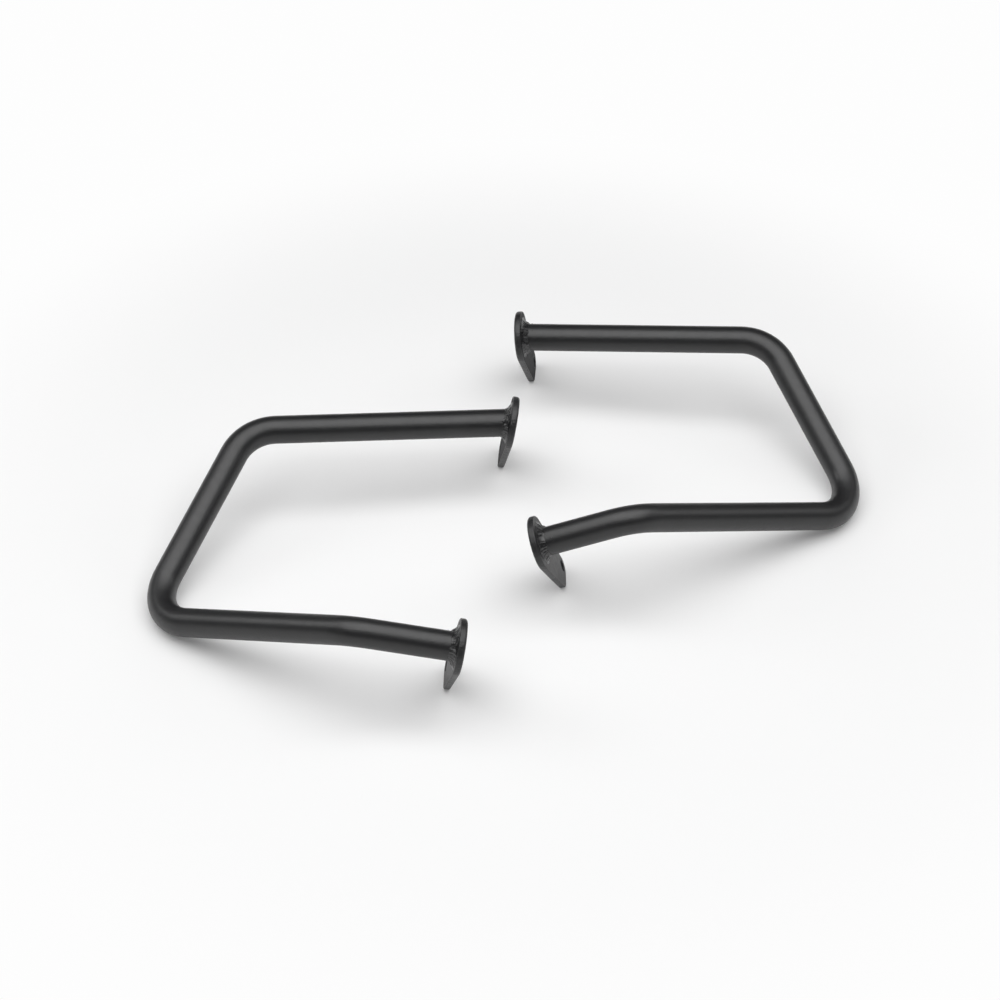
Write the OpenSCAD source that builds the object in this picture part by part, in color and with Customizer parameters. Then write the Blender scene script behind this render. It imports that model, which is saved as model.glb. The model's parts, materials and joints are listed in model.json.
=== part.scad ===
// Motorcycle crash bars: a left and a right engine guard, each one bent
// steel tube with a flat mounting plate welded to both of its ends.
// Millimetres, +Z up, +Y to the back, the pair standing on the floor at z = 0.
// The origin is the middle of the pair's footprint.
//
// Each bar is written as a bending job: the tube starts at its upper plate,
// runs four straight legs and turns three bends. A leg is measured between
// the corner points where the straight centrelines would cross. The twist
// turns the plane of the next bend about the leg it stands on.

/* [Tube] */
// outside diameter of the round tube
tube_d = 25; // [16:0.5:38]
// wall thickness of the tube
tube_wall = 2.5; // [1.5:0.1:4]
// centreline radius of every bend
bend_r = 43; // [38:1:60]

/* [Left bar] */
// upper leg, from the upper plate to the first bend's corner
left_upper_leg = 234; // [180:1:300]
// outer leg, between the first two corners
left_outer_leg = 202; // [150:1:260]
// return leg, between the last two corners
left_return_leg = 224; // [170:1:300]
// end leg, from the last corner to the lower plate
left_end_leg = 87; // [60:1:140]
// turn of the first bend in degrees
left_bend_1 = 62; // [40:1:80]
// turn of the second bend in degrees
left_bend_2 = 95; // [75:1:110]
// turn of the third bend in degrees
left_bend_3 = 41; // [20:1:60]
// twist on the outer leg in degrees
left_twist_1 = 35; // [20:1:50]
// twist on the return leg in degrees
left_twist_2 = -68; // [-85:1:-50]
// way the upper plate points round the tube, from the side the tube bends to
left_upper_clock = -96; // [-130:1:-60]
// upper plate swung off square to the tube, seen along the bend's axis
left_upper_swing = -11; // [-15:1:15]
// upper plate leaned off square to the tube
left_upper_lean = -3; // [-10:1:10]
// way the lower plate points round the tube
left_lower_clock = -172; // [-200:1:-140]

/* [Right bar] */
// upper leg, from the upper plate to the first bend's corner
right_upper_leg = 227; // [180:1:300]
// outer leg, between the first two corners
right_outer_leg = 192; // [150:1:260]
// return leg, between the last two corners
right_return_leg = 257; // [170:1:300]
// end leg, from the last corner to the lower plate
right_end_leg = 82; // [60:1:140]
// turn of the first bend in degrees
right_bend_1 = 62; // [40:1:80]
// turn of the second bend in degrees
right_bend_2 = 98; // [75:1:110]
// turn of the third bend in degrees
right_bend_3 = 48; // [20:1:60]
// twist on the outer leg in degrees
right_twist_1 = 38; // [20:1:50]
// twist on the return leg in degrees
right_twist_2 = -78; // [-95:1:-60]
// way the upper plate points round the tube, from the side the tube bends to
right_upper_clock = -92; // [-130:1:-60]
// upper plate swung off square to the tube, seen along the bend's axis
right_upper_swing = -3; // [-15:1:15]
// upper plate leaned off square to the tube
right_upper_lean = -3; // [-10:1:10]
// way the lower plate points round the tube
right_lower_clock = -174; // [-200:1:-140]

/* [Mounting plates] */
// plate thickness
plate_t = 6; // [3:0.5:10]
// radius of the round end that carries the tube
plate_r = 24; // [18:0.5:28]
// distance from the tube's centre to the bolt hole
hole_reach = 65; // [50:1:90]
// diameter of the bolt hole, clear for an M10 bolt
hole_d = 10.5; // [6.5:0.1:14]
// radius of the plate's edge round the bolt hole
eye_r = 10; // [9:0.5:16]
// distance along the plate to the centre of the toe's corner
toe_reach = 59; // [40:1:80]
// distance of the toe's corner from the plate's centre line
toe_side = 12.5; // [0:0.5:20]
// radius of the toe's corner
toe_r = 9; // [4:0.5:14]

/* [Weld beads] */
// leg of the bead along the tube
bead_on_tube = 6; // [3:0.5:9]
// leg of the bead on the plate
bead_on_plate = 6; // [3:0.5:8]
// height of the ripples left by the torch
bead_ripple = 0.6; // [0:0.1:1.2]
// number of ripples round one joint
bead_ripples = 30; // [18:1:36]

/* [Layout] */
// how far left of its plate the left bar's upper leg runs to the front, degrees
left_heading = 5.7; // [-20:0.1:20]
// the same turn for the right bar
right_heading = 6.2; // [-20:0.1:20]
// right bar's upper tube end, this far to the right of the left bar's
pair_gap_x = 14.6; // [0:0.1:120]
// and this far behind it
pair_gap_y = 128.1; // [80:0.1:300]

/* [Hidden] */
$fn = 96;
BLACK = [0.045, 0.046, 0.05];
BEAD = [0.055, 0.056, 0.06];
tube_r = tube_d / 2;
bore_r = tube_r - tube_wall;
far = 4 * plate_r;
// how much thinner the wall is in a bend, and how far a leg laps over its end
bend_draw = 0.02;
bend_lap = 0.3;

// one bar's numbers: legs, bends, twists, clocks, swing, lean
LEFT = [
    [left_upper_leg, left_outer_leg, left_return_leg, left_end_leg],
    [left_bend_1, left_bend_2, left_bend_3],
    [left_twist_1, left_twist_2],
    [left_upper_clock, left_lower_clock],
    left_upper_swing,
    left_upper_lean
];
RIGHT = [
    [right_upper_leg, right_outer_leg, right_return_leg, right_end_leg],
    [right_bend_1, right_bend_2, right_bend_3],
    [right_twist_1, right_twist_2],
    [right_upper_clock, right_lower_clock],
    right_upper_swing,
    right_upper_lean
];

// vectors
function unit(v) = v / norm(v);
function turn(v, k, a) = v * cos(a) + cross(k, v) * sin(a) + k * (k * v) * (1 - cos(a));
function square_to(v, n) = unit(v - n * (v * n));
function farthest(pts, g) =
    let (h = [for (p = pts) p * g], m = max(h))
    [for (i = [0:len(pts) - 1]) if (h[i] == m) pts[i]][0];

// the tube's centreline in the bar's own frame: the upper plate's joint is at
// the origin and the upper leg runs along +x; n is the axis each bend turns on
function dirs(bar) =
    let (
        d0 = [1, 0, 0], n0 = [0, 0, 1],
        d1 = turn(d0, n0, bar[1][0]), n1 = turn(n0, d1, bar[2][0]),
        d2 = turn(d1, n1, bar[1][1]), n2 = turn(n1, d2, bar[2][1]),
        d3 = turn(d2, n2, bar[1][2])
    )
    [[d0, d1, d2, d3], [n0, n1, n2]];
function corners(bar) =
    let (d = dirs(bar)[0], a = bar[0][0] * d[0], b = a + bar[0][1] * d[1], c = b + bar[0][2] * d[2])
    [[0, 0, 0], a, b, c, c + bar[0][3] * d[3]];
function setback(bar, i) = bend_r * tan(bar[1][i] / 2);
function bend_point(bar, i, a) =
    let (d = dirs(bar)[0][i], n = dirs(bar)[1][i], s = cross(n, d))
    corners(bar)[i + 1] - d * setback(bar, i) + bend_r * (s * (1 - cos(a)) + d * sin(a));
function bend_dir(bar, i, a) = turn(dirs(bar)[0][i], dirs(bar)[1][i], a);

// a plate's frame: x leaves the plate along the tube, y runs from the tube to
// the bolt hole, z to the toe; the inner face stands at the tube's end
function x_rot(a) = [[1, 0, 0], [0, cos(a), -sin(a)], [0, sin(a), cos(a)]];
function y_rot(a) = [[cos(a), 0, sin(a)], [0, 1, 0], [-sin(a), 0, cos(a)]];
function z_rot(a) = [[cos(a), -sin(a), 0], [sin(a), cos(a), 0], [0, 0, 1]];
function columns(x, y, z) = [[x.x, y.x, z.x], [x.y, y.y, z.y], [x.z, y.z, z.z]];
function upper_frame(bar) = z_rot(bar[4]) * y_rot(bar[5]) * x_rot(bar[3][0]);
function lower_frame(bar) =
    let (x = -dirs(bar)[0][3], z = dirs(bar)[1][2])
    columns(x, cross(z, x), z) * x_rot(bar[3][1]);
function plate_discs() = [[[0, 0], plate_r], [[hole_reach, 0], eye_r], [[toe_reach, toe_side], toe_r]];
function plate_far(frame, at, g) =
    let (x = frame * [1, 0, 0], y = frame * [0, 1, 0], z = frame * [0, 0, 1], s = square_to(g, x))
    farthest([
        for (c = plate_discs(), t = [0, -plate_t])
            at + y * c[0].x + z * c[0].y + s * c[1] + x * t
    ], g);
function bend_far(bar, i, g) =
    farthest([
        for (k = [0:60])
            let (a = bar[1][i] * k / 60, t = bend_dir(bar, i, a))
            bend_point(bar, i, a) + tube_r * square_to(g, t)
    ], g);
function bar_far(bar, g) =
    farthest([
        for (i = [0:2]) bend_far(bar, i, g),
        plate_far(upper_frame(bar), corners(bar)[0], g),
        plate_far(lower_frame(bar), corners(bar)[4], g)
    ], g);

// how a bar stands by itself on the floor: on its two plates and the second
// bend. The up direction is found by letting it settle on those three.
function feet(bar, g) = [
    plate_far(upper_frame(bar), corners(bar)[0], g),
    bend_far(bar, 1, g),
    plate_far(lower_frame(bar), corners(bar)[4], g)
];
function up_from(bar, f) =
    let (n = unit(cross(f[1] - f[0], f[2] - f[0])))
    n * (corners(bar)[1] - f[0]) > 0 ? n : -n;
function settle(bar, u, rounds) = rounds == 0 ? u : settle(bar, up_from(bar, feet(bar, -u)), rounds - 1);
function first_up(bar) =
    let (c = corners(bar))
    up_from(bar, [
        c[0] + upper_frame(bar) * [0, hole_reach, 0],
        c[2],
        c[4] + lower_frame(bar) * [0, hole_reach, 0]
    ]);
function standing(bar, heading) =
    let (
        u = settle(bar, first_up(bar), 12),
        h = square_to([1, 0, 0], u),
        v = cross(u, h)
    )
    [-cos(heading) * h + sin(heading) * v, -sin(heading) * h - cos(heading) * v, u];

left_turn = standing(LEFT, left_heading);
right_turn = standing(RIGHT, right_heading);
left_lift = -(left_turn * bar_far(LEFT, -left_turn[2])).z;
right_lift = -(right_turn * bar_far(RIGHT, -right_turn[2])).z;
// reach of each bar to the left, right, front and back of its upper tube end
left_reach = [for (g = [[-1, 0, 0], [1, 0, 0], [0, -1, 0], [0, 1, 0]])
    bar_far(LEFT, g * left_turn) * (g * left_turn)];
right_reach = [for (g = [[1, 0, 0], [-1, 0, 0], [0, -1, 0], [0, 1, 0]])
    bar_far(RIGHT, g * right_turn) * (g * right_turn)];
middle_x = (max(left_reach[1], right_reach[1] + pair_gap_x)
    - max(left_reach[0], right_reach[0] - pair_gap_x)) / 2;
middle_y = (max(left_reach[3], right_reach[3] + pair_gap_y)
    - max(left_reach[2], right_reach[2] - pair_gap_y)) / 2;

module put(m, p = [0, 0, 0]) {
    multmatrix([
        [m[0][0], m[0][1], m[0][2], p.x],
        [m[1][0], m[1][1], m[1][2], p.y],
        [m[2][0], m[2][1], m[2][2], p.z]
    ]) children();
}

module left_bar() {
    translate([-middle_x, -middle_y, left_lift]) put(left_turn) children();
}

module right_bar() {
    translate([pair_gap_x - middle_x, pair_gap_y - middle_y, right_lift])
        mirror([1, 0, 0]) put(right_turn) children();
}

// a straight run of tube along z
module pipe(length) {
    difference() {
        cylinder(r = tube_r, h = length);
        translate([0, 0, -1]) cylinder(r = bore_r, h = length + 2);
    }
}

// a bend that starts along z and turns toward x, drawn a hair thinner in the
// wall than the straight tube it runs into
module elbow(angle) {
    translate([bend_r, 0, 0]) rotate([-90, 0, 0])
        rotate_extrude(angle = angle, start = 180) translate([bend_r, 0]) difference() {
            circle(r = tube_r - bend_draw);
            circle(r = bore_r + bend_draw);
        }
}

// the tube from leg i onward, leg by leg, each one standing on the last
module tube_from(bar, i, extra = 0) {
    back = i > 0 ? setback(bar, i - 1) - bend_lap : -extra;
    front = i < 3 ? setback(bar, i) : 0;
    run = bar[0][i] - back - front;
    pipe(run + (i < 3 ? bend_lap : 0));
    if (i < 3) translate([0, 0, run]) {
        elbow(bar[1][i]);
        translate([bend_r, 0, 0]) rotate([0, bar[1][i], 0]) translate([-bend_r, 0, -bend_lap])
            rotate([0, 0, i < 2 ? bar[2][i] : 0]) tube_from(bar, i + 1);
    }
}

// the bent tube, its upper end cut to the slope of the upper plate
module bent_tube(bar) {
    spare = tube_r;
    difference() {
        multmatrix([[0, 0, 1, -spare], [1, 0, 0, 0], [0, 1, 0, 0]]) tube_from(bar, 0, spare);
        put(upper_frame(bar)) translate([-far, -far / 2, -far / 2]) cube(far);
    }
}

// the plate's outline: a round end for the tube, an eye for the bolt and a toe
module disc(c) {
    translate(c[0]) circle(r = c[1]);
}

// the straight edge between two of the outline's circles, on its right side
function edge(a, b) =
    let (
        v = b[0] - a[0], l = norm(v), u = v / l,
        k = (a[1] - b[1]) / l,
        n = k * u + sqrt(1 - k * k) * [u.y, -u.x]
    )
    [a[0] + a[1] * n, b[0] + b[1] * n];

module outline() {
    tube_end = plate_discs()[0];
    eye = plate_discs()[1];
    toe = plate_discs()[2];
    for (c = plate_discs()) disc(c);
    polygon([
        each edge(tube_end, eye),
        each edge(eye, toe),
        each edge(toe, tube_end)
    ]);
}

module plate(frame, at) {
    put(frame, at) multmatrix([[0, 0, 1, -plate_t], [1, 0, 0, 0], [0, 1, 0, 0]]) difference() {
        linear_extrude(height = plate_t) outline();
        translate([hole_reach, 0, -1]) cylinder(d = hole_d, h = plate_t + 2);
    }
}

// a fillet bead round the joint. It is laid in ripples, four points to each,
// and swells and thins a little on its way round as hand laid beads do.
// a is the tube's direction, p the plate's normal.
module bead(at, a, p, side, phase) {
    n = 4 * bead_ripples;
    inner = tube_r / cos(180 / n);
    u = square_to(side, a);
    v = cross(a, u);
    function ray(i) = u * cos(360 * i / n) + v * sin(360 * i / n);
    function on_plate(i, r) = ray(i) * r - a * (r * (ray(i) * p) / (a * p));
    function swell(i) =
        1 + 0.07 * sin(3 * 360 * i / n + phase) + 0.05 * sin(7 * 360 * i / n + 2 * phase);
    function ripple(i) = bead_ripple * (0.5 + 0.5 * cos(90 * i));
    function ring(i) =
        let (
            wide = bead_on_plate * swell(i) + ripple(i) * 0.6,
            tall = bead_on_tube * swell(i + 5) + ripple(i) * 0.6,
            base = on_plate(i, inner),
            out = on_plate(i, inner + wide),
            top = base + a * tall,
            way = unit(ray(i) + a)
        )
        [
            base,
            out,
            base + (out - base) * 0.52 + a * tall * 0.26 + way * ripple(i) * 0.5,
            base + (out - base) * 0.26 + a * tall * 0.52 + way * ripple(i) * 0.5,
            top
        ];
    pts = [for (i = [0:n - 1]) each ring(i)];
    translate(at) polyhedron(
        points = pts,
        faces = [
            for (i = [0:n - 1], k = [0:4])
                let (j = (i + 1) % n, m = (k + 1) % 5)
                [5 * i + k, 5 * i + m, 5 * j + m, 5 * j + k]
        ]
    );
}

module upper_bead(bar, phase) {
    f = upper_frame(bar);
    bead([0, 0, 0], [1, 0, 0], f * [1, 0, 0], f * [0, 1, 0], phase);
}

module lower_bead(bar, phase) {
    f = lower_frame(bar);
    bead(corners(bar)[4], f * [1, 0, 0], f * [1, 0, 0], f * [0, 1, 0], phase);
}

module left_tube() {
    color(BLACK) left_bar() bent_tube(LEFT);
}

module left_upper_plate() {
    color(BLACK) left_bar() plate(upper_frame(LEFT), corners(LEFT)[0]);
}

module left_lower_plate() {
    color(BLACK) left_bar() plate(lower_frame(LEFT), corners(LEFT)[4]);
}

module left_upper_weld() {
    color(BEAD) left_bar() upper_bead(LEFT, 20);
}

module left_lower_weld() {
    color(BEAD) left_bar() lower_bead(LEFT, 110);
}

module right_tube() {
    color(BLACK) right_bar() bent_tube(RIGHT);
}

module right_upper_plate() {
    color(BLACK) right_bar() plate(upper_frame(RIGHT), corners(RIGHT)[0]);
}

module right_lower_plate() {
    color(BLACK) right_bar() plate(lower_frame(RIGHT), corners(RIGHT)[4]);
}

module right_upper_weld() {
    color(BEAD) right_bar() upper_bead(RIGHT, 200);
}

module right_lower_weld() {
    color(BEAD) right_bar() lower_bead(RIGHT, 290);
}

left_tube();
left_upper_plate();
left_lower_plate();
left_upper_weld();
left_lower_weld();
right_tube();
right_upper_plate();
right_lower_plate();
right_upper_weld();
right_lower_weld();
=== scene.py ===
"""Motorcycle crash bars: a left and a right engine guard in satin black powder coat.

Everything is in metres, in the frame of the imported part: +X to the right bar,
+Y to the back, +Z up off the floor.
"""

import json
import math
import random

import bmesh
import bpy
from mathutils import Matrix, Vector


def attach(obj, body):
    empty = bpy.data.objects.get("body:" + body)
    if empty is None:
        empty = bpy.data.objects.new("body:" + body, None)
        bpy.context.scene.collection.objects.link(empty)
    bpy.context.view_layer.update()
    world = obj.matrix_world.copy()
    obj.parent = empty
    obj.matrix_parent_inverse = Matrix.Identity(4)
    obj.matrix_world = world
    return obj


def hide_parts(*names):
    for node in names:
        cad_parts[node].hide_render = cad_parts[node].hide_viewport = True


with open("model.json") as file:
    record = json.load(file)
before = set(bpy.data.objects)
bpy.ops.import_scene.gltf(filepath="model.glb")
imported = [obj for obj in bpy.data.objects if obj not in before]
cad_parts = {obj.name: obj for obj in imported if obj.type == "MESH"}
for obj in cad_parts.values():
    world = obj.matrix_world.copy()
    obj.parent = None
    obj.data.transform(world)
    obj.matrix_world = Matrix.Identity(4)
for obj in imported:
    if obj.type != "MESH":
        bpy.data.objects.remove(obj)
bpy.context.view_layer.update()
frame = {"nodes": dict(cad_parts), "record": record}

MM = 0.001

# Camera
AIM = Vector((-9.6, 43.9, 0.0)) * MM
DISTANCE = 2626 * MM
ELEVATION = math.radians(40)
LENS = 104.7

# Sizes that the part's source gives
TUBE_R = 12.5 * MM
PLATE_T = 6 * MM
HOLE_R = 5.25 * MM
# the plate's three outline circles: along the plate, to the toe, radius
DISCS = [(0.0, 0.0, 24 * MM), (65 * MM, 0.0, 10 * MM), (59 * MM, 12.5 * MM, 9 * MM)]
# how each upper plate is turned off square to its tube: clock, swing, lean
UPPER_TURN = {"left": (-96, -11, -3), "right": (-92, -3, -3)}

# Rounding of the plate's edges, outer and inner side, and of the hole's rim
RIM_OUT = 2.2 * MM
RIM_IN = 1.0 * MM
RIM_HOLE = 0.5 * MM

# Weld bead: legs on the plate and along the tube, and how full its section is
BEAD_PLATE = 6.4 * MM
BEAD_TUBE = 6.0 * MM
BEAD_FULL = 0.20
BEAD_ROUND = 288
BEAD_STEPS = 16
RIPPLES = 34
LUMPS = 34
SPATTER = 16


# Materials

BLACK = (0.0095, 0.0095, 0.0103)


def new_material(name):
    m = bpy.data.materials.new(name)
    m.use_nodes = True
    nodes = m.node_tree.nodes
    shader = nodes["Principled BSDF"]
    return m, nodes, m.node_tree.links, shader


def noise(nodes, links, scale, detail=3.0, rough=0.55):
    """noise in object space, which here is the part's own frame in metres"""
    place = nodes.new("ShaderNodeTexCoord")
    n = nodes.new("ShaderNodeTexNoise")
    n.inputs["Scale"].default_value = scale
    n.inputs["Detail"].default_value = detail
    n.inputs["Roughness"].default_value = rough
    links.new(place.outputs["Object"], n.inputs["Vector"])
    return n


def remap(nodes, links, source, low, high, out_low, out_high):
    m = nodes.new("ShaderNodeMapRange")
    m.inputs["From Min"].default_value = low
    m.inputs["From Max"].default_value = high
    m.inputs["To Min"].default_value = out_low
    m.inputs["To Max"].default_value = out_high
    links.new(source, m.inputs["Value"])
    return m


def larger(nodes, links, first, second):
    m = nodes.new("ShaderNodeMath")
    m.operation = "MAXIMUM"
    links.new(first, m.inputs[0])
    links.new(second, m.inputs[1])
    return m


def powder_coat(name, sheen, gloss_range, grain, rough_edge=0.0):
    """satin black powder coat: an even dark colour with orange peel over it"""
    m, nodes, links, shader = new_material(name)
    shader.inputs["Specular IOR Level"].default_value = sheen
    cloud = noise(nodes, links, 60, 4)
    ramp = nodes.new("ShaderNodeValToRGB")
    ramp.color_ramp.elements[0].position = 0.3
    ramp.color_ramp.elements[0].color = (*[c * 0.82 for c in BLACK], 1)
    ramp.color_ramp.elements[1].position = 0.7
    ramp.color_ramp.elements[1].color = (*[c * 1.18 for c in BLACK], 1)
    links.new(cloud.outputs["Fac"], ramp.inputs["Fac"])
    links.new(ramp.outputs["Color"], shader.inputs["Base Color"])
    gloss = noise(nodes, links, 180, 3)
    rough = remap(nodes, links, gloss.outputs["Fac"], 0.3, 0.7, *gloss_range)
    links.new(rough.outputs["Result"], shader.inputs["Roughness"])
    peel = noise(nodes, links, 650, 2, 0.5)
    fine = noise(nodes, links, 2200, 2, 0.5)
    bump = nodes.new("ShaderNodeBump")
    bump.inputs["Strength"].default_value = grain
    bump.inputs["Distance"].default_value = 0.30 * MM
    links.new(peel.outputs["Fac"], bump.inputs["Height"])
    speck = nodes.new("ShaderNodeBump")
    speck.inputs["Strength"].default_value = grain * 0.6
    speck.inputs["Distance"].default_value = 0.13 * MM
    links.new(fine.outputs["Fac"], speck.inputs["Height"])
    links.new(bump.outputs["Normal"], speck.inputs["Normal"])
    last = speck
    if rough_edge:
        pits = noise(nodes, links, 420, 4, 0.6)
        cut = nodes.new("ShaderNodeBump")
        cut.inputs["Strength"].default_value = rough_edge
        cut.inputs["Distance"].default_value = 1.0 * MM
        links.new(pits.outputs["Fac"], cut.inputs["Height"])
        links.new(speck.outputs["Normal"], cut.inputs["Normal"])
        last = cut
    links.new(last.outputs["Normal"], shader.inputs["Normal"])
    return m


COAT = powder_coat("powder_coat", 0.64, (0.35, 0.42), 0.35)
PLATE = powder_coat("powder_coat_plate", 0.50, (0.44, 0.52), 0.45)
# painted shade: a duller, less reflective copy of the plate coat, used on the upper plates to stand
# in for the shade and dark reflections there; chosen so that the upper plates come nearer to the
# photograph
PAINTED_SHADE_PLATE = powder_coat("powder_coat_plate_painted_shade", 0.15, (0.58, 0.66), 0.45)
EDGE = powder_coat("powder_coat_cut_edge", 0.62, (0.34, 0.44), 0.4, 0.55)
WELD = powder_coat("coated_weld", 0.70, (0.22, 0.34), 0.5, 0.2)


def paint(obj, material):
    obj.data.materials.clear()
    obj.data.materials.append(material)


# The tubes keep their CAD meshes. The plates get eased edges and the welds an
# uneven bead, each built in its plate's own axes.


def plate_axes(side, end):
    """x off the plate toward the tube, y toward the bolt hole, z toward the toe"""
    mounts = {m["name"]: m for m in frame["record"]["mounts"]}
    face = mounts[f"{side}_{end}_plate_face"]
    hole = mounts[f"{side}_{end}_bolt_hole"]
    x = -Vector(face["axis"]).normalized()
    root = Vector(face["pos_m"]) + x * PLATE_T
    y = Vector(hole["pos_m"]) - root
    y = (y - x * y.dot(x)).normalized()
    z = x.cross(y) * (1 if side == "left" else -1)
    return root, x, y, z


def make_piece(name, bm, material, node):
    bmesh.ops.recalc_face_normals(bm, faces=bm.faces)
    mesh = bpy.data.meshes.new(name)
    bm.to_mesh(mesh)
    bm.free()
    for poly in mesh.polygons:
        poly.use_smooth = True
    piece = bpy.data.objects.new(name, mesh)
    bpy.context.collection.objects.link(piece)
    paint(piece, material)
    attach(piece, "root")
    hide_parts(node)
    return piece


def outline(inset):
    """the plate's outline, drawn in by inset, as points along and across it"""
    turns = []
    for i in range(3):
        ay, az, ar = DISCS[i]
        by, bz, br = DISCS[(i + 1) % 3]
        run = math.atan2(bz - az, by - ay)
        span = math.hypot(by - ay, bz - az)
        turns.append(run - math.acos((ar - br) / span))
    points = []
    for i, steps in enumerate((72, 24, 24)):
        cy, cz, r = DISCS[i]
        start = turns[i - 1]
        sweep = (turns[i] - start) % (2 * math.pi)
        for k in range(steps + 1):
            t = start + sweep * k / steps
            points.append((cy + (r - inset) * math.cos(t), cz + (r - inset) * math.sin(t)))
    return points


def hole_ring(grow):
    cy, cz, _ = DISCS[1]
    r = HOLE_R + grow
    return [
        (cy + r * math.cos(2 * math.pi * k / 64), cz + r * math.sin(2 * math.pi * k / 64))
        for k in range(64)
    ]


def rim_steps(radius_out, radius_in, steps):
    """how far a side is drawn in, and its depth, from the outer face to the inner"""
    rows = []
    for k in range(steps + 1):
        t = 0.5 * math.pi * k / steps
        rows.append((radius_out * (1 - math.sin(t)), -PLATE_T + radius_out * (1 - math.cos(t))))
    for k in range(steps, -1, -1):
        t = 0.5 * math.pi * k / steps
        rows.append((radius_in * (1 - math.sin(t)), -radius_in * (1 - math.cos(t))))
    return rows


def make_plate(side, end):
    root, x, y, z = plate_axes(side, end)
    bm = bmesh.new()

    def wall(shape, rows):
        rings = []
        for inset, depth in rows:
            rings.append([bm.verts.new(root + x * depth + y * a + z * b) for a, b in shape(inset)])
        for low, high in zip(rings, rings[1:]):
            for k in range(len(low)):
                m = (k + 1) % len(low)
                bm.faces.new((low[k], low[m], high[m], high[k]))
        return rings[0], rings[-1]

    outer, inner = wall(outline, rim_steps(RIM_OUT, RIM_IN, 6))
    hole_outer, hole_inner = wall(hole_ring, rim_steps(RIM_HOLE, RIM_HOLE, 3))
    bm.edges.ensure_lookup_table()
    for rim, hole in ((outer, hole_outer), (inner, hole_inner)):
        edges = []
        for ring in (rim, hole):
            for k in range(len(ring)):
                edges.append(bm.edges.get((ring[k], ring[(k + 1) % len(ring)])))
        bmesh.ops.triangle_fill(bm, edges=edges, use_beauty=True)
    name = f"{side}_{end}_plate"
    # painted shade: the upper plates take the less reflective copy of the plate coat
    face = PAINTED_SHADE_PLATE if end == "upper" else PLATE
    piece = make_piece(f"{name}_shape", bm, face, name)
    piece.data.materials.append(EDGE)
    for poly in piece.data.polygons:
        poly.material_index = 1 if len(poly.vertices) == 4 else 0
    piece.modifiers.new("flat faces", "WEIGHTED_NORMAL").keep_sharp = True
    return piece


def wave(seed, lows):
    """a smooth closed wave round the joint, about -1 to 1, made of a few sines"""
    rng = random.Random(seed)
    parts = [(n, rng.uniform(0.5, 1.0), rng.uniform(0, 2 * math.pi)) for n in lows]
    total = sum(p[1] for p in parts)
    return lambda t: 1.5 * sum(a * math.sin(n * t + c) for n, a, c in parts) / total


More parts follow.
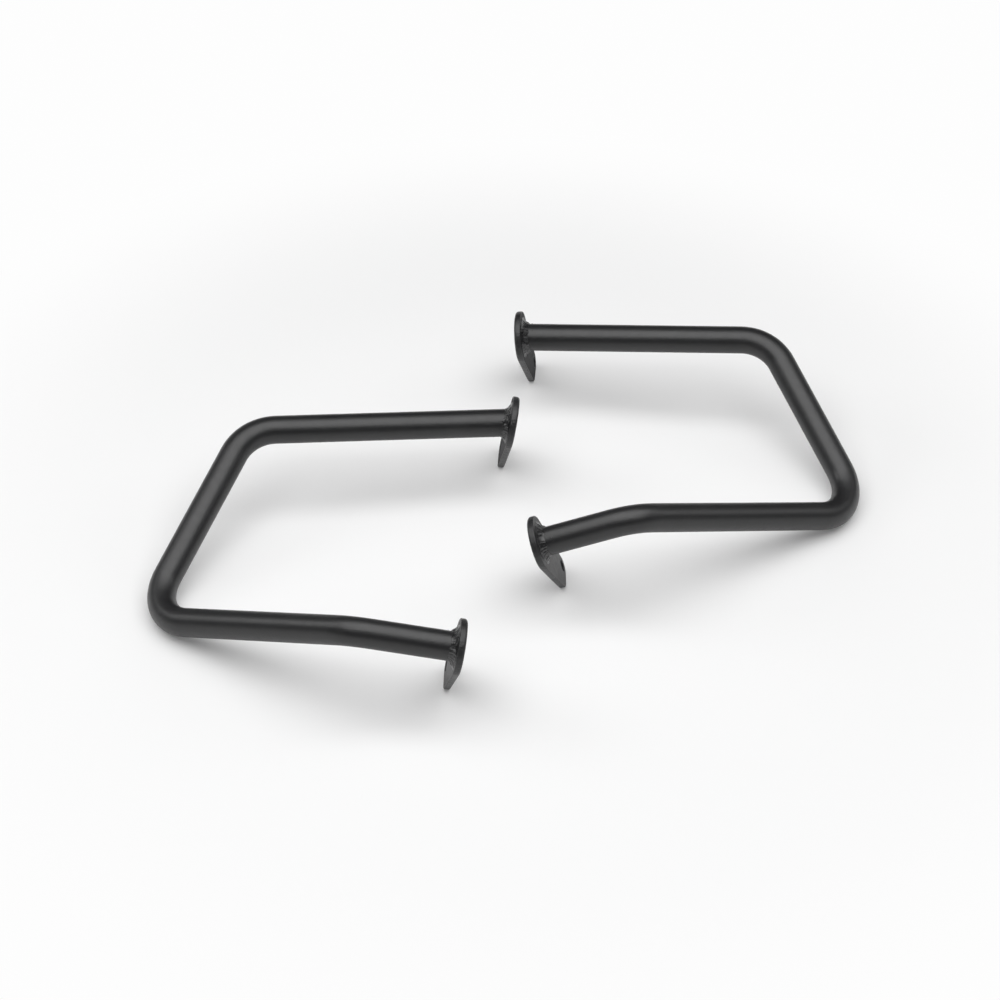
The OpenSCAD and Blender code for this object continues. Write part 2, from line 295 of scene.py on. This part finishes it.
def make_bead(side, end, seed):
    root, x, y, z = plate_axes(side, end)
    rng = random.Random(seed)
    if end == "upper":
        clock, swing, lean = [math.radians(v) for v in UPPER_TURN[side]]
        turned = Matrix.Rotation(swing, 3, "Z") @ Matrix.Rotation(lean, 3, "Y")
        turned = turned @ Matrix.Rotation(clock, 3, "X")
        along = turned[0].normalized()
    else:
        along = Vector((1, 0, 0))
    u = (Vector((0, 1, 0)) - along * along.y).normalized()
    v = along.cross(u)
    foot = wave(seed + 1, (2, 3, 5, 8, 13))
    reach = wave(seed + 2, (2, 3, 6, 9, 14))
    drift = wave(seed + 3, (2, 3, 4, 7))
    power = wave(seed + 4, (3, 5, 9, 15))
    # each lump: turn round the joint, place across the bead, spread, height
    lumps = []
    for _ in range(LUMPS):
        lump_turn = rng.uniform(0, 2 * math.pi)
        lump_place = rng.uniform(0.1, 0.9)
        lump_spread = rng.uniform(0.7, 1.7) * MM
        lumps.append((lump_turn, lump_place, lump_spread, rng.uniform(0.25, 0.7) * MM))

    def section(t):
        ray = u * math.cos(t) + v * math.sin(t)
        slide = ray - along * (ray.x / along.x)
        base = slide * TUBE_R
        legs = 1 + 0.12 * foot(t), 1 + 0.14 * reach(t)
        low = base + slide * BEAD_PLATE * legs[0]
        high = base + along * BEAD_TUBE * legs[1]
        mid = base + (slide * BEAD_PLATE * legs[0] + along * BEAD_TUBE * legs[1]) * BEAD_FULL
        out = (ray + Vector((1, 0, 0))).normalized()
        points = []
        for k in range(BEAD_STEPS + 1):
            s = k / BEAD_STEPS
            p = low * (1 - s) ** 2 + mid * 2 * s * (1 - s) + high * s * s
            fade = math.sin(math.pi * s) ** 0.6
            curl = RIPPLES * t + 1.6 * drift(t) + 2.6 * (s - 0.5) ** 2
            ridge = abs(math.sin(0.5 * curl))
            rise = (0.22 + 0.14 * power(t)) * MM * ridge * fade
            for lt, ls, lr, lh in lumps:
                turn = (t - lt + math.pi) % (2 * math.pi) - math.pi
                gap = math.hypot(turn * TUBE_R * 1.25, (s - ls) * BEAD_TUBE * 1.2) / lr
                if gap < 2.5:
                    rise += lh * math.exp(-gap * gap) * fade
            points.append(p + out * rise)
        points[0] = points[0] - Vector((0.35 * MM, 0, 0))
        points[-1] = points[-1] - ray * 0.35 * MM
        points.append(base - ray * 0.4 * MM - Vector((0.4 * MM, 0, 0)))
        return points

    bm = bmesh.new()

    def add(p):
        return bm.verts.new(root + x * p.x + y * p.y + z * p.z)

    rings = [[add(p) for p in section(2 * math.pi * k / BEAD_ROUND)] for k in range(BEAD_ROUND)]
    for k in range(BEAD_ROUND):
        low, high = rings[k], rings[(k + 1) % BEAD_ROUND]
        for j in range(len(low)):
            m = (j + 1) % len(low)
            bm.faces.new((low[j], low[m], high[m], high[j]))
    # spatter: small round drops, a little sunk, stuck to the tube and the plate beside the bead
    for k in range(SPATTER):
        t = rng.uniform(0, 2 * math.pi)
        ray = u * math.cos(t) + v * math.sin(t)
        slide = ray - along * (ray.x / along.x)
        size = rng.uniform(0.25, 0.55) * MM
        beside = rng.uniform(0.8, 0.8 + 8 * rng.random()) * MM
        if k % 3:
            spot = slide * TUBE_R + along * (BEAD_TUBE * 1.1 + beside)
            off = ray
        else:
            spot = slide * (TUBE_R + BEAD_PLATE + min(beside, 2 * MM))
            off = Vector((1, 0, 0))
        sunk = spot - off * size * 0.3
        made = bmesh.ops.create_icosphere(bm, subdivisions=2, radius=size)
        middle = root + x * sunk.x + y * sunk.y + z * sunk.z
        for vert in made["verts"]:
            vert.co = vert.co + middle
    name = f"{side}_{end}_weld"
    return make_piece(f"{name}_bead", bm, WELD, name)


for name, obj in frame["nodes"].items():
    for s in obj.material_slots:
        s.material = WELD if "weld" in name else COAT

for number, (side, end) in enumerate((a, b) for a in ("left", "right") for b in ("upper", "lower")):
    make_plate(side, end)
    make_bead(side, end, 100 * number + 7)

# Studio: floor, lights, world

FLOOR_HALF = 6.0


def make_floor():
    mesh = bpy.data.meshes.new("floor")
    h = FLOOR_HALF
    mesh.from_pydata([(-h, -h, 0), (h, -h, 0), (h, h, 0), (-h, h, 0)], [], [(0, 1, 2, 3)])
    floor = bpy.data.objects.new("floor", mesh)
    bpy.context.collection.objects.link(floor)
    m, nodes, links, shader = new_material("floor_white")
    out = nodes["Material Output"]
    nodes.remove(shader)
    matt = nodes.new("ShaderNodeBsdfDiffuse")
    matt.inputs["Color"].default_value = (0.765, 0.765, 0.765, 1)
    place = nodes.new("ShaderNodeTexCoord")
    far = nodes.new("ShaderNodeVectorMath")
    far.operation = "LENGTH"
    links.new(place.outputs["Object"], far.inputs[0])
    spread = remap(nodes, links, far.outputs["Value"], 0.34, 0.64, 0, 1)
    spread.interpolation_type = "SMOOTHSTEP"
    lift = nodes.new("ShaderNodeEmission")
    lift.inputs["Strength"].default_value = 0.12
    white = nodes.new("ShaderNodeEmission")
    white.inputs["Strength"].default_value = 0.985
    ray = nodes.new("ShaderNodeLightPath")
    mirrored = larger(nodes, links, ray.outputs["Is Glossy Ray"], ray.outputs["Is Transmission Ray"])
    seen = larger(nodes, links, ray.outputs["Is Camera Ray"], mirrored.outputs[0])
    near = nodes.new("ShaderNodeAddShader")
    links.new(matt.outputs[0], near.inputs[0])
    links.new(lift.outputs[0], near.inputs[1])
    away = nodes.new("ShaderNodeMixShader")
    links.new(spread.outputs["Result"], away.inputs["Fac"])
    links.new(near.outputs[0], away.inputs[1])
    links.new(white.outputs[0], away.inputs[2])
    pick = nodes.new("ShaderNodeMixShader")
    links.new(seen.outputs[0], pick.inputs["Fac"])
    links.new(matt.outputs[0], pick.inputs[1])
    links.new(away.outputs[0], pick.inputs[2])
    links.new(pick.outputs[0], out.inputs["Surface"])
    paint(floor, m)
    return floor


def area_light(name, place, aim, size, power):
    data = bpy.data.lights.new(name, "AREA")
    data.shape = "RECTANGLE"
    data.size = size[0]
    data.size_y = size[1]
    data.energy = power
    lamp = bpy.data.objects.new(name, data)
    bpy.context.collection.objects.link(lamp)
    lamp.location = place
    lamp.rotation_euler = (Vector(aim) - Vector(place)).to_track_quat("-Z", "Y").to_euler()
    return lamp


def make_world():
    world = bpy.data.worlds.new("studio")
    bpy.context.scene.world = world
    world.use_nodes = True
    nodes = world.node_tree.nodes
    links = world.node_tree.links
    fill = nodes["Background"]
    fill.inputs["Color"].default_value = (1, 1, 1, 1)
    fill.inputs["Strength"].default_value = 0.07
    white = nodes.new("ShaderNodeBackground")
    white.inputs["Color"].default_value = (1, 1, 1, 1)
    white.inputs["Strength"].default_value = 0.98
    ray = nodes.new("ShaderNodeLightPath")
    mirrored = larger(nodes, links, ray.outputs["Is Glossy Ray"], ray.outputs["Is Transmission Ray"])
    # reflections see a white backdrop that ends a little above the horizon
    place = nodes.new("ShaderNodeTexCoord")
    split = nodes.new("ShaderNodeSeparateXYZ")
    links.new(place.outputs["Generated"], split.inputs[0])
    low = remap(nodes, links, split.outputs["Z"], 0.02, 0.08, 1, 0)
    backdrop = nodes.new("ShaderNodeMath")
    backdrop.operation = "MULTIPLY"
    links.new(mirrored.outputs[0], backdrop.inputs[0])
    links.new(low.outputs["Result"], backdrop.inputs[1])
    seen = larger(nodes, links, ray.outputs["Is Camera Ray"], backdrop.outputs[0])
    mix = nodes.new("ShaderNodeMixShader")
    links.new(seen.outputs[0], mix.inputs["Fac"])
    links.new(fill.outputs[0], mix.inputs[1])
    links.new(white.outputs[0], mix.inputs[2])
    links.new(mix.outputs[0], nodes["World Output"].inputs["Surface"])


make_floor()
make_world()
area_light("overhead", (0.0, -0.35, 1.9), (0, -0.35, 0), (3.0, 2.3), 54)
area_light("left_side", (-1.75, 0.3, 1.2), (-0.2, -0.15, 0), (1.0, 0.8), 6.5)
area_light("right_side", (1.75, 0.3, 1.2), (0.2, -0.05, 0), (1.0, 0.8), 4)

# Camera


def make_camera():
    data = bpy.data.cameras.new("camera")
    data.sensor_width = 36
    data.lens = LENS
    data.clip_end = 50
    cam = bpy.data.objects.new("camera", data)
    bpy.context.collection.objects.link(cam)
    back = Vector((0, -math.cos(ELEVATION), math.sin(ELEVATION)))
    cam.location = AIM + DISTANCE * back
    cam.rotation_euler = (-back).to_track_quat("-Z", "Y").to_euler()
    bpy.context.scene.camera = cam


make_camera()

bpy.context.scene.view_settings.view_transform = "Standard"
